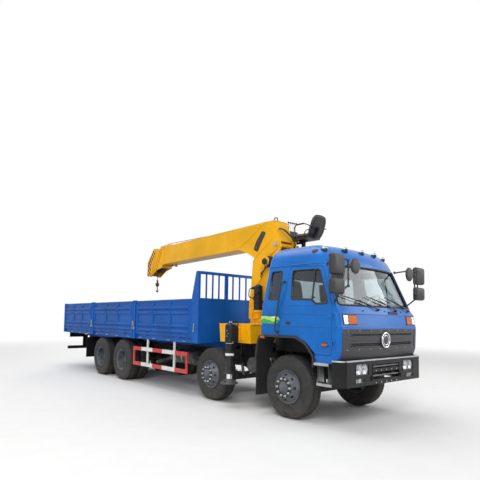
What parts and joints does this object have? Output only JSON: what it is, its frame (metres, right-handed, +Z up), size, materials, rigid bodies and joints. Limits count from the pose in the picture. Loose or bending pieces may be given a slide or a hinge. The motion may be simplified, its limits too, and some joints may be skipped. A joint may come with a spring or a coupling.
{
  "type": "mobile crane lorry",
  "caption": "Mobile crane: a cab-over flatbed lorry with drop sides and a slewing telescopic boom crane with outriggers behind the cab.",
  "frame": {"origin": "on the ground under the middle of the whole lorry's bounding box", "axes": "+X forwards towards the bumper, +Y to the lorry's left, +Z up"},
  "size_m": [11.37, 2.82, 3.8271],
  "materials": {
    "cab_blue": "gloss enamel",
    "bed_blue": "semi-gloss enamel, lightly dusty",
    "crane_yellow": "gloss enamel",
    "chassis_black": "satin",
    "grille_black": "satin moulding",
    "bumper_black": "satin",
    "black_plastic": "grained",
    "grey_trim": "grained",
    "tinted_glass": "clear with a light tint",
    "lamp_lens": "clear and amber lenses",
    "tank_grey": "satin",
    "guard_red": "gloss, red and white bands",
    "seat_black": "padded vinyl",
    "rope_steel": "stranded, greased",
    "cast_steel": "painted casting",
    "hook_red": "worn enamel",
    "chromed_rod": "polished",
    "wheel_grey": "satin enamel",
    "tyre_rubber": "matt tread"
  },
  "bodies": {
    "chassis": {"frame": "chassis_black", "axles": "chassis_black", "cab_shell": "cab_blue", "cab_glass": "tinted_glass", "cab_interior": "grey_trim", "grille": "grille_black", "bumper": "bumper_black", "lamps": "lamp_lens", "mirrors": "black_plastic", "fenders_steps": "black_plastic", "tanks": "tank_grey", "guards": "guard_red", "bed_floor": "bed_blue", "headboard": "bed_blue", "crane_base": "crane_yellow"},
    "wheel_1_right": {"rim_1_right": "wheel_grey", "tyre_1_right": "tyre_rubber"},
    "knuckle_1_right": {"knuckle_1_right": "cast_steel"},
    "wheel_2_right": {"rim_2_right": "wheel_grey", "tyre_2_right": "tyre_rubber"},
    "knuckle_2_right": {"knuckle_2_right": "cast_steel"},
    "wheel_3_right": {"rim_3_right": "wheel_grey", "tyre_3_right": "tyre_rubber"},
    "wheel_4_right": {"rim_4_right": "wheel_grey", "tyre_4_right": "tyre_rubber"},
    "wheel_1_left": {"rim_1_left": "wheel_grey", "tyre_1_left": "tyre_rubber"},
    "knuckle_1_left": {"knuckle_1_left": "cast_steel"},
    "wheel_2_left": {"rim_2_left": "wheel_grey", "tyre_2_left": "tyre_rubber"},
    "knuckle_2_left": {"knuckle_2_left": "cast_steel"},
    "wheel_3_left": {"rim_3_left": "wheel_grey", "tyre_3_left": "tyre_rubber"},
    "wheel_4_left": {"rim_4_left": "wheel_grey", "tyre_4_left": "tyre_rubber"},
    "door_right": {"door_right": "cab_blue", "door_glass_right": "tinted_glass"},
    "drop_side_right_1": {"drop_side_right_1": "bed_blue"},
    "drop_side_right_2": {"drop_side_right_2": "bed_blue"},
    "drop_side_right_3": {"drop_side_right_3": "bed_blue"},
    "door_left": {"door_left": "cab_blue", "door_glass_left": "tinted_glass"},
    "drop_side_left_1": {"drop_side_left_1": "bed_blue"},
    "drop_side_left_2": {"drop_side_left_2": "bed_blue"},
    "drop_side_left_3": {"drop_side_left_3": "bed_blue"},
    "tailgate": {"tailgate": "bed_blue"},
    "crane_column": {"column": "crane_yellow", "operator_seat": "seat_black"},
    "boom": {"boom_base": "crane_yellow"},
    "boom_middle": {"boom_middle": "crane_yellow"},
    "boom_tip": {"boom_tip": "crane_yellow"},
    "hoist_line": {"head_sheave": "cast_steel", "hoist_rope": "rope_steel"},
    "hook": {"hook": "hook_red"},
    "lift_barrel": {"lift_barrel": "crane_yellow"},
    "lift_rod": {"lift_rod": "chromed_rod"},
    "outrigger_beam_right": {"outrigger_beam_right": "crane_yellow"},
    "jack_leg_right": {"jack_leg_right": "chromed_rod"},
    "outrigger_beam_left": {"outrigger_beam_left": "crane_yellow"},
    "jack_leg_left": {"jack_leg_left": "chromed_rod"}
  },
  "joints": [
    {"name": "steer_1_right", "type": "hinge", "parent": "chassis", "child": "knuckle_1_right", "pos_m": [4.495, -0.83, 0.528], "axis": [0, 0, 1], "range_deg": [-35, 35]},
    {"name": "roll_1_right", "type": "hinge", "parent": "knuckle_1_right", "child": "wheel_1_right", "pos_m": [4.495, -0.96, 0.528], "axis": [0, 1, 0], "continuous": true},
    {"name": "steer_2_right", "type": "hinge", "parent": "chassis", "child": "knuckle_2_right", "pos_m": [2.375, -0.83, 0.528], "axis": [0, 0, 1], "range_deg": [-25, 25]},
    {"name": "roll_2_right", "type": "hinge", "parent": "knuckle_2_right", "child": "wheel_2_right", "pos_m": [2.375, -0.96, 0.528], "axis": [0, 1, 0], "continuous": true},
    {"name": "roll_3_right", "type": "hinge", "parent": "chassis", "child": "wheel_3_right", "pos_m": [-1.385, -0.92, 0.528], "axis": [0, 1, 0], "continuous": true},
    {"name": "roll_4_right", "type": "hinge", "parent": "chassis", "child": "wheel_4_right", "pos_m": [-2.685, -0.92, 0.528], "axis": [0, 1, 0], "continuous": true},
    {"name": "steer_1_left", "type": "hinge", "parent": "chassis", "child": "knuckle_1_left", "pos_m": [4.495, 0.83, 0.528], "axis": [0, 0, 1], "range_deg": [-35, 35]},
    {"name": "roll_1_left", "type": "hinge", "parent": "knuckle_1_left", "child": "wheel_1_left", "pos_m": [4.495, 0.96, 0.528], "axis": [0, 1, 0], "continuous": true},
    {"name": "steer_2_left", "type": "hinge", "parent": "chassis", "child": "knuckle_2_left", "pos_m": [2.375, 0.83, 0.528], "axis": [0, 0, 1], "range_deg": [-25, 25]},
    {"name": "roll_2_left", "type": "hinge", "parent": "knuckle_2_left", "child": "wheel_2_left", "pos_m": [2.375, 0.96, 0.528], "axis": [0, 1, 0], "continuous": true},
    {"name": "roll_3_left", "type": "hinge", "parent": "chassis", "child": "wheel_3_left", "pos_m": [-1.385, 0.92, 0.528], "axis": [0, 1, 0], "continuous": true},
    {"name": "roll_4_left", "type": "hinge", "parent": "chassis", "child": "wheel_4_left", "pos_m": [-2.685, 0.92, 0.528], "axis": [0, 1, 0], "continuous": true},
    {"name": "door_swing_right", "type": "hinge", "parent": "chassis", "child": "door_right", "pos_m": [5.476, -1.186, 1.51], "axis": [0, 0, 1], "range_deg": [0, 70]},
    {"name": "drop_side_right_1_hinge", "type": "hinge", "parent": "chassis", "child": "drop_side_right_1", "pos_m": [0.61, -1.225, 1.222], "axis": [1, 0, 0], "range_deg": [0, 175]},
    {"name": "drop_side_right_2_hinge", "type": "hinge", "parent": "chassis", "child": "drop_side_right_2", "pos_m": [-2.02, -1.225, 1.222], "axis": [1, 0, 0], "range_deg": [0, 175]},
    {"name": "drop_side_right_3_hinge", "type": "hinge", "parent": "chassis", "child": "drop_side_right_3", "pos_m": [-4.504, -1.225, 1.222], "axis": [1, 0, 0], "range_deg": [0, 175]},
    {"name": "door_swing_left", "type": "hinge", "parent": "chassis", "child": "door_left", "pos_m": [5.476, 1.186, 1.51], "axis": [0, 0, -1], "range_deg": [0, 70]},
    {"name": "drop_side_left_1_hinge", "type": "hinge", "parent": "chassis", "child": "drop_side_left_1", "pos_m": [0.61, 1.225, 1.222], "axis": [-1, 0, 0], "range_deg": [0, 175]},
    {"name": "drop_side_left_2_hinge", "type": "hinge", "parent": "chassis", "child": "drop_side_left_2", "pos_m": [-2.02, 1.225, 1.222], "axis": [-1, 0, 0], "range_deg": [0, 175]},
    {"name": "drop_side_left_3_hinge", "type": "hinge", "parent": "chassis", "child": "drop_side_left_3", "pos_m": [-4.504, 1.225, 1.222], "axis": [-1, 0, 0], "range_deg": [0, 175]},
    {"name": "tailgate_hinge", "type": "hinge", "parent": "chassis", "child": "tailgate", "pos_m": [-5.673, 0, 1.222], "axis": [0, -1, 0], "range_deg": [0, 175]},
    {"name": "slew", "type": "hinge", "parent": "chassis", "child": "crane_column", "pos_m": [2.965, 0, 1.6], "axis": [0, 0, 1], "continuous": true},
    {"name": "luff", "type": "hinge", "parent": "crane_column", "child": "boom", "pos_m": [3.365, 0, 3.18], "axis": [0, 1, 0], "range_deg": [0, 75]},
    {"name": "extend_middle", "type": "slide", "parent": "boom", "child": "boom_middle", "axis": [-0.9998, 0, -0.0175], "range_m": [0, 2.55]},
    {"name": "extend_tip", "type": "slide", "parent": "boom_middle", "child": "boom_tip", "axis": [-0.9998, 0, -0.0175], "range_m": [0, 2.55]},
    {"name": "hoist_hang", "type": "hinge", "parent": "boom_tip", "child": "hoist_line", "pos_m": [-1.56425, 0, 3.09396], "axis": [0, 1, 0], "range_deg": [-75, 0]},
    {"name": "hoist", "type": "slide", "parent": "hoist_line", "child": "hook", "axis": [0, 0, -1], "range_m": [0, 1], "deforming": ["hoist_rope"]},
    {"name": "lift_foot", "type": "hinge", "parent": "crane_column", "child": "lift_barrel", "pos_m": [2.895, 0, 1.95], "axis": [0, 1, 0], "range_deg": [0, 16]},
    {"name": "lift_stroke", "type": "slide", "parent": "lift_barrel", "child": "lift_rod", "axis": [-0.1776, 0, 0.9841], "range_m": [0, 0.75]},
    {"name": "beam_out_right", "type": "slide", "parent": "chassis", "child": "outrigger_beam_right", "axis": [0, -1, 0], "range_m": [0, 1.3]},
    {"name": "jack_right", "type": "slide", "parent": "outrigger_beam_right", "child": "jack_leg_right", "axis": [0, 0, -1], "range_m": [0, 0.4]},
    {"name": "beam_out_left", "type": "slide", "parent": "chassis", "child": "outrigger_beam_left", "axis": [0, 1, 0], "range_m": [0, 1.3]},
    {"name": "jack_left", "type": "slide", "parent": "outrigger_beam_left", "child": "jack_leg_left", "axis": [0, 0, -1], "range_m": [0, 0.4]}
  ],
  "couplings": [
    {"joint": "steer_1_left", "follows": "steer_1_right", "ratio": 1},
    {"joint": "steer_2_right", "follows": "steer_1_right", "ratio": 0.7},
    {"joint": "steer_2_left", "follows": "steer_1_right", "ratio": 0.7},
    {"joint": "extend_tip", "follows": "extend_middle", "ratio": 1},
    {"joint": "hoist_hang", "follows": "luff", "ratio": -1},
    {"joint": "lift_foot", "follows": "luff", "ratio": 0.21019},
    {"joint": "lift_stroke", "follows": "luff", "m_per_rad": 0.5564}
  ]
}
